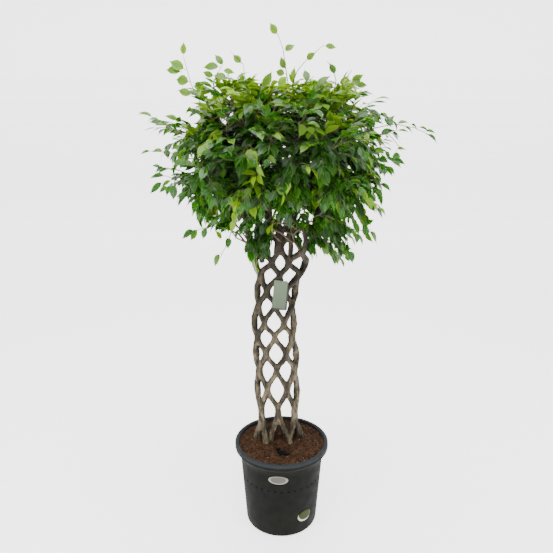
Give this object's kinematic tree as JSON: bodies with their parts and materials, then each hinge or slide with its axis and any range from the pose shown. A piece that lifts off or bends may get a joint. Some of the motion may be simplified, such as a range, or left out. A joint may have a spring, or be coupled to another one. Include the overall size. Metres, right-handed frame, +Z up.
{
  "type": "potted weeping fig",
  "caption": "Weeping fig with a trunk of stems grafted into an open net, a round leafy head, a hanging card and a tapered plastic pot of soil.",
  "frame": {"origin": "centre of the pot's flat bottom, on the surface that it stands on", "axes": "+Z up through the pot, -Y towards the side that the picture shows, +X to the right of that side"},
  "size_m": [0.9463, 0.7754, 1.6769],
  "materials": {
    "pot": "satin",
    "soil": "matte",
    "bark": "matte",
    "leaf": "satin",
    "card": "matte",
    "loop": "matte",
    "oval": "satin",
    "green": "satin"
  },
  "bodies": {
    "root": {"pot": "pot", "soil": "soil", "trunk": "bark", "branch_1": "leaf", "branch_2": "leaf", "branch_3": "leaf", "branch_4": "leaf", "branch_5": "leaf", "branch_6": "leaf", "hang_tag": "card", "tag_loop": "loop", "oval_label": "oval", "green_label": "green"}
  },
  "joints": []
}
